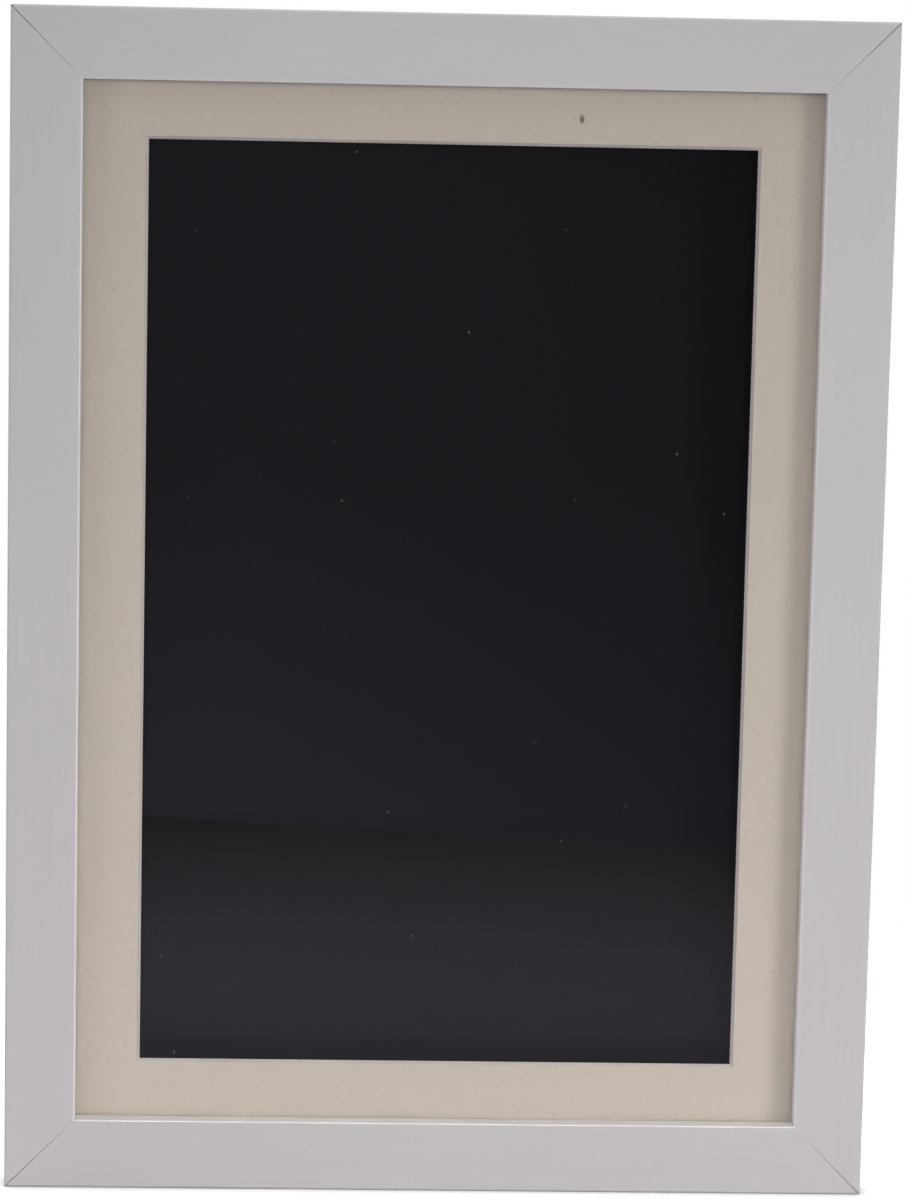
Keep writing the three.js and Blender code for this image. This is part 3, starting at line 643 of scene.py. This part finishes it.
# %% [markdown]
# Behind the mat a thin clear film lies on the black panel. It was folded, so two faint creases
# cross it, each steep above and easy below, and it swells a little between them. A flat plate would
# mirror like the pane, and a cloth simulation would be too soft for stiff film, so a fine grid is
# lifted by the creases and by slow noise, and then given its thickness.

# %% How the film lies
CREASES = [(-0.3645, 0.35 * MM), (-0.118, 0.15 * MM)]
CREASE_SLOPE = -0.012
CREASE_ABOVE = 7 * MM
CREASE_BELOW = 90 * MM
SWELL = 0.5 * MM
SWELL_SIZE = 9.0
film_low, film_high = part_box("backing_film")


def film_lift(x, z):
    """How far the film stands off the panel at a place."""
    lift = SWELL * (0.5 + 0.5 * noise.noise(Vector((x, 0.0, z)) * SWELL_SIZE))
    for height, crest in CREASES:
        above = z - height - CREASE_SLOPE * x
        width = CREASE_ABOVE if above > 0 else CREASE_BELOW
        lift += crest * max(0.0, 1 - abs(above) / width) ** 2
    return lift


print("film stands off by", round(film_lift(0.0, CREASES[0][0]) / MM, 2), "mm at the lower crease")

# %% Film with creases
FILM_COLUMNS = 36
FILM_ROWS = 110
FILM_IOR = 1.20
FILM_POLISH = 0.03
FILM_HAZE = 0.001


def new_piece(name, form, finish):
    """Turns a bmesh into an object of the scene with its finish."""
    mesh = bpy.data.meshes.new(name)
    form.to_mesh(mesh)
    form.free()
    mesh.materials.append(finish)
    piece = bpy.data.objects.new(name, mesh)
    scene.collection.objects.link(piece)
    return piece


form = bmesh.new()
bmesh.ops.create_grid(form, x_segments=FILM_COLUMNS, y_segments=FILM_ROWS, size=0.5)
for point in form.verts:
    x = film_low.x + (point.co.x + 0.5) * (film_high.x - film_low.x)
    z = film_low.z + (point.co.y + 0.5) * (film_high.z - film_low.z)
    point.co = Vector((x, film_high.y - film_lift(x, z), z))
for face in form.faces:
    face.smooth = True
film_finish = clear_sheet("clear_film", FILM_IOR, FILM_POLISH, haze=FILM_HAZE, dust_share=0.0)
film = new_piece("creased_film", form, film_finish)
thick = film.modifiers.new("thickness", "SOLIDIFY")
thick.thickness = film_high.y - film_low.y
thick.offset = 1.0
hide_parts("backing_film")
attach(film, "tray")
print("film:", len(film.data.vertices), "points")

# %% [markdown]
# The back panel is hardboard: stained black and smooth in front, and pressed by a wire screen
# behind, as hardboard is. The screen's ribs are far too many to model, so they are a relief in the
# material, crossed sine waves that only the rear face gets. Black shows its texture more in its
# gloss than in its colour.

# %% Black hardboard
PANEL_BLACK = colour(6, 6, 8)
PANEL_GREY = colour(9, 9, 11)
PANEL_BACK = colour(48, 46, 45)
PANEL_FIBRE = colour(58, 56, 54)
SCREEN_PITCH = 1.6 * MM
PANEL_SHINE = 0.04
PANEL_MATT = (0.70, 0.85)
PANEL_MOTTLE = 120.0
PANEL_FIBRES = (900.0, 900.0, 600.0)
PANEL_TOOTH = 1500.0
PANEL_DEPTH = 0.03 * MM
PANEL_EASE = 0.2 * MM
REAR_FROM = 0.5


def screen_mark(tree, place):
    """The crossed ribs that a wire screen presses into the back of hardboard."""
    at = parts(tree, place)
    turn = 2 * pi / SCREEN_PITCH
    ribs = [maths(tree, "SINE", maths(tree, "MULTIPLY", at[axis], turn)) for axis in ("X", "Z")]
    return maths(tree, "MULTIPLY", ribs[0], ribs[1])


def black_board():
    made, tree, shader, place = new_finish("black_board")
    mottle = patches(tree, place, PANEL_MOTTLE, detail=4.0)
    smooth_face = mixed(tree, mottle, PANEL_BLACK, PANEL_GREY)
    matted = cloud(tree, stretched(tree, place, PANEL_FIBRES), 1.0, detail=4.0)
    fibre = spread(tree, matted, *FIBRE_ENDS)
    rear = maths(tree, "GREATER_THAN", facing(tree)["Y"], REAR_FROM)
    both = mixed(tree, rear, smooth_face, mixed(tree, fibre, PANEL_BACK, PANEL_FIBRE))
    tree.links.new(both, shader.inputs["Base Color"])
    tree.links.new(spread(tree, mottle, 0.0, 1.0, *PANEL_MATT), shader.inputs["Roughness"])
    tooth = cloud(tree, place, PANEL_TOOTH, detail=3.0)
    pressed = maths(tree, "ADD", tooth, screen_mark(tree, place))
    roughen(tree, shader, maths(tree, "MULTIPLY", rear, pressed), PANEL_DEPTH, strength=0.5)
    shader.inputs["Specular IOR Level"].default_value = PANEL_SHINE
    return made


dress(["back_panel"], black_board(), PANEL_EASE)

# %% [markdown]
# The tray is fibreboard under a satin black paint. Sprayed paint has a trace of orange peel and is
# rubbed a little duller in places, so noise at two scales drives the relief and the gloss.

# %% Black paint
PAINT_BLACK = colour(30, 30, 32)
PAINT_GREY = colour(35, 35, 37)
PAINT_SATIN = (0.42, 0.58)
RUBBED = 45.0
RUBBED_ENDS = (0.45, 0.75)
PEEL = 700.0
PEEL_DEPTH = 0.05 * MM
TRAY_EASE = 0.3 * MM


def black_paint():
    made, tree, shader, place = new_finish("black_paint")
    wear = spread(tree, cloud(tree, place, RUBBED, detail=5.0), *RUBBED_ENDS)
    tree.links.new(mixed(tree, wear, PAINT_BLACK, PAINT_GREY), shader.inputs["Base Color"])
    tree.links.new(spread(tree, wear, 0.0, 1.0, *PAINT_SATIN), shader.inputs["Roughness"])
    roughen(tree, shader, cloud(tree, place, PEEL), PEEL_DEPTH, strength=0.5)
    return made


dress(TRAY_RAILS, black_paint(), TRAY_EASE)

# %% [markdown]
# The fittings are plated steel. Nickel on the hinges and screws is smooth, the magnets are brighter
# still, and the zinc on points, wedges, strikes, staples and hangers shows the dull crystals of its
# plating. All three are fully metallic, so one helper makes them and their detail is in the gloss.

# %% Plated steel
RELIEF_FINER = 4
FITTING_EASE = 0.08 * MM
MAGNET_EASE = 0.25 * MM


def plated(name, light, dark, gloss, matt, grain, relief):
    """A metal whose tone and gloss vary over its grain."""
    made, tree, shader, place = new_finish(name, metallic=1.0)
    cell = patches(tree, place, grain, detail=3.0)
    tree.links.new(mixed(tree, cell, dark, light), shader.inputs["Base Color"])
    tree.links.new(spread(tree, cell, 0.0, 1.0, matt, gloss), shader.inputs["Roughness"])
    roughen(tree, shader, cloud(tree, place, RELIEF_FINER * grain), relief)
    return made


def named(*starts):
    """Names of the solids that begin with one of these words."""
    return [name for name in nodes if name.startswith(starts)]


NICKEL = plated("nickel_steel", colour(208, 205, 198), colour(199, 196, 189),
                gloss=0.22, matt=0.30, grain=900.0, relief=0.002 * MM)
BRIGHT = plated("magnet", colour(214, 213, 210), colour(200, 199, 197),
                gloss=0.14, matt=0.24, grain=1400.0, relief=0.005 * MM)
ZINC = plated("zinc_steel", colour(186, 189, 193), colour(164, 167, 172),
              gloss=0.34, matt=0.50, grain=500.0, relief=0.02 * MM)
zinc_pieces = named("mat_point_", "corner_wedge_", "strike_", "strap_staple_", "hanger_")
dress(named("hinge_"), NICKEL, FITTING_EASE)
dress(named("magnet_"), BRIGHT, MAGNET_EASE)
dress(zinc_pieces, ZINC, FITTING_EASE)

# %% [markdown]
# Four rubber bumpers keep the frame off the wall. Rubber is dull and goes grey in patches as it
# ages, which is a change of tone and gloss only, so the moulded form of the solids stays as it is.

# %% Rubber bumpers
RUBBER_BLACK = colour(38, 38, 40)
RUBBER_BLOOM = colour(52, 52, 54)
RUBBER_MATT = (0.70, 0.85)
BLOOM = 400.0
RUBBER_TOOTH = 2500.0
RUBBER_DEPTH = 0.03 * MM
BUMPER_EASE = 0.3 * MM


def rubber():
    made, tree, shader, place = new_finish("bumper_rubber")
    bloom = patches(tree, place, BLOOM, detail=4.0)
    tree.links.new(mixed(tree, bloom, RUBBER_BLACK, RUBBER_BLOOM), shader.inputs["Base Color"])
    tree.links.new(spread(tree, bloom, 0.0, 1.0, *RUBBER_MATT), shader.inputs["Roughness"])
    roughen(tree, shader, cloud(tree, place, RUBBER_TOOTH), RUBBER_DEPTH)
    return made


dress(named("bumper_"), rubber(), BUMPER_EASE)

# %% [markdown]
# Two elastic straps keep the drawings in the tray. Elastic is woven over a row of rubber threads,
# which show as ribs along its length. A plain band would look like tape, so the ribs are drawn in
# its cross-section, and the section is swept along the solid's own path: up from one staple, over
# the sheets and down to the other.

# %% Path of a strap
STRAP_T = 1.0 * MM
STRAP_BEND = 2.0 * MM
BEND_STEPS = 8


def strap_path(low, high):
    """The line through the middle of a strap: points, and the way its outer face looks, in Y and Z."""
    run_y = low.y + STRAP_BEND
    reach = STRAP_BEND - STRAP_T / 2
    path = [((high.y, low.z + STRAP_T / 2), (0.0, -1.0))]
    for end_z, start_turn in ((low.z + STRAP_BEND, 0.0), (high.z - STRAP_BEND, 0.5)):
        for step in range(BEND_STEPS + 1):
            turn = pi * (start_turn + 0.5 * step / BEND_STEPS)
            out = (-sin(turn), -cos(turn))
            path.append(((run_y + out[0] * reach, end_z + out[1] * reach), out))
    path.append(((high.y, high.z - STRAP_T / 2), (0.0, 1.0)))
    return path


# %% Ribbed section of a strap
RIBS = 6
RIB_STEPS = 5
RIB_RISE = 0.16 * MM


def strap_section(width):
    """Ribbed outline of the strap: places across it and how far each lies off the middle line."""
    count = RIBS * RIB_STEPS
    face = []
    for step in range(count + 1):
        share = step / count
        rise = RIB_RISE * abs(sin(pi * RIBS * share))
        face.append((width * (share - 0.5), STRAP_T / 2 - RIB_RISE + rise))
    return face + [(across, -off) for across, off in reversed(face)]


print("strap section:", len(strap_section(1.0)), "points")

# %% Woven elastic
ELASTIC_BLACK = colour(22, 22, 24)
ELASTIC_GREY = colour(48, 48, 51)
WEAVE = {"Scale": 320.0, "Distortion": 1.5}
WEAVE_DEPTH = 0.12 * MM
ELASTIC_SHEEN = 0.3


def elastic():
    made, tree, shader, place = new_finish("black_elastic", roughness=0.95)
    weave = add(tree, "TexWave", {"Vector": place, **WEAVE}, bands_direction="Z")
    both = mixed(tree, weave.outputs["Fac"], ELASTIC_BLACK, ELASTIC_GREY)
    tree.links.new(both, shader.inputs["Base Color"])
    roughen(tree, shader, weave.outputs["Fac"], WEAVE_DEPTH, strength=0.8)
    shader.inputs["Sheen Weight"].default_value = ELASTIC_SHEEN
    return made


ELASTIC = elastic()
print("finish", ELASTIC.name)

# %% Straps


def close_rings(form, rings):
    """Joins rings of points into a tube and closes both its ends."""
    for ring, following in zip(rings, rings[1:]):
        for index in range(len(ring)):
            beside = (index + 1) % len(ring)
            form.faces.new((ring[index], ring[beside], following[beside], following[index]))
    form.faces.new(rings[0])
    form.faces.new(list(reversed(rings[-1])))
    bmesh.ops.recalc_face_normals(form, faces=form.faces)


for node in ("strap_left", "strap_right"):
    low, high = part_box(node)
    centre = (low.x + high.x) / 2
    section = strap_section(high.x - low.x)
    form = bmesh.new()
    rings = []
    for (y, z), out in strap_path(low, high):
        places = [(centre + x, y + off * out[0], z + off * out[1]) for x, off in section]
        rings.append([form.verts.new(place) for place in places])
    close_rings(form, rings)
    strap = new_piece("woven_" + node, form, ELASTIC)
    smooth(strap)
    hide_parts(node)
    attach(strap, "tray")
    print(strap.name, "of", len(strap.data.vertices), "points")

# %% [markdown]
# Small brads hold the back panel in the tray. They are too small for the CAD model, but a bare back
# would look unfinished. A brad is round, so its profile is turned about its axis: a pointed shank,
# a flat under the head and a low dome.

# %% Shape of a brad
BRAD_HEAD_R = 1.5 * MM
BRAD_RISE = 0.35 * MM
BRAD_SHANK_R = 0.55 * MM
BRAD_L = 9 * MM
BRAD_STEPS = 20
BRAD_PROFILE = [
    (0, -BRAD_L),
    (BRAD_SHANK_R, -BRAD_L + 2 * BRAD_SHANK_R),
    (BRAD_SHANK_R, 0),
    (BRAD_HEAD_R, 0),
    (BRAD_HEAD_R, 0.4 * BRAD_RISE),
    (0.75 * BRAD_HEAD_R, 0.85 * BRAD_RISE),
    (0, BRAD_RISE),
]


def turned(profile, steps):
    """A form turned about the Y axis from [radius, depth] points that start and end on the axis."""
    form = bmesh.new()
    first = form.verts.new((0, profile[0][1], 0))
    last = form.verts.new((0, profile[-1][1], 0))
    turns = [2 * pi * step / steps for step in range(steps)]
    rings = []
    for radius, y in profile[1:-1]:
        rings.append([form.verts.new((radius * cos(turn), y, radius * sin(turn))) for turn in turns])
    for index in range(steps):
        beside = (index + 1) % steps
        form.faces.new((first, rings[0][index], rings[0][beside]))
        form.faces.new((last, rings[-1][beside], rings[-1][index]))
        for ring, following in zip(rings, rings[1:]):
            form.faces.new((ring[index], following[index], following[beside], ring[beside]))
    bmesh.ops.recalc_face_normals(form, faces=form.faces)
    return form


print("brad profile:", len(BRAD_PROFILE), "points")

# %% Brads round the back panel
BRAD_INSET = 3.75 * MM
SHARES_ACROSS = (0.14, 0.5, 0.86)
SHARES_UP = (0.12, 0.37, 0.63, 0.88)


def add_fitting(name, form, at):
    """Puts a small zinc fastener on the tray."""
    fitting = new_piece(name, form, ZINC)
    fitting.location = at
    smooth(fitting)
    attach(fitting, "tray")


panel_low, panel_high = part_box("back_panel")
brad_places = []
for share in SHARES_ACROSS:
    x = panel_low.x + share * (panel_high.x - panel_low.x)
    brad_places += [(x, panel_high.z - BRAD_INSET), (x, panel_low.z + BRAD_INSET)]
for share in SHARES_UP:
    z = panel_low.z + share * (panel_high.z - panel_low.z)
    brad_places += [(panel_low.x + BRAD_INSET, z), (panel_high.x - BRAD_INSET, z)]
for count, (x, z) in enumerate(brad_places, 1):
    add_fitting(f"panel_brad_{count:02d}", turned(BRAD_PROFILE, BRAD_STEPS), (x, panel_high.y, z))
print("brads:", len(brad_places))

# %% [markdown]
# Folded steel wedges hold the mitres of the tray, two at each corner, driven in almost flush. Each
# is a strip folded to a right angle. Its outline is an L, so drawing the L once and giving it depth
# is all it takes.

# %% Wedges across the tray's mitres
WEDGE_LEG = 8 * MM
WEDGE_T = 0.8 * MM
WEDGE_DEPTH = 7 * MM
WEDGE_RISE = 0.1 * MM
WEDGE_HEELS = {"outer": 6 * MM, "inner": 25 * MM}
WEDGE_OUTLINE = [
    (0, 0),
    (WEDGE_LEG, 0),
    (WEDGE_LEG, WEDGE_T),
    (WEDGE_T, WEDGE_T),
    (WEDGE_T, WEDGE_LEG),
    (0, WEDGE_LEG),
]


def folded_wedge(way_x, way_z):
    """An L with its heel at the origin and its legs towards the frame's middle."""
    form = bmesh.new()
    rings = []
    for y in (-WEDGE_DEPTH, WEDGE_RISE):
        rings.append([form.verts.new((way_x * x, y, way_z * z)) for x, z in WEDGE_OUTLINE])
    close_rings(form, rings)
    return form


for z_word, corner_z, way_z in (("top", tray_high.z, -1), ("bottom", tray_low.z, 1)):
    for x_word, corner_x, way_x in (("left", tray_low.x, 1), ("right", tray_high.x, -1)):
        for word, heel in WEDGE_HEELS.items():
            at = (corner_x + way_x * heel, tray_high.y, corner_z + way_z * heel)
            add_fitting(f"tray_wedge_{z_word}_{x_word}_{word}", folded_wedge(way_x, way_z), at)
print("wedges:", 4 * len(WEDGE_HEELS))

# %% [markdown]
# The dressed frame is meant to stay inside the CAD model's box, so both boxes are put side by side
# and the last line prints how far the dressed frame reaches past it.

# %% Size and finish
boxes = {"cad": cad_box, "visual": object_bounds()}
growth = [(boxes["visual"][1][axis] - cad_box[1][axis]) / MM for axis in range(3)]
print("the dressed frame reaches past the CAD box by", [round(size, 2) for size in growth], "mm")
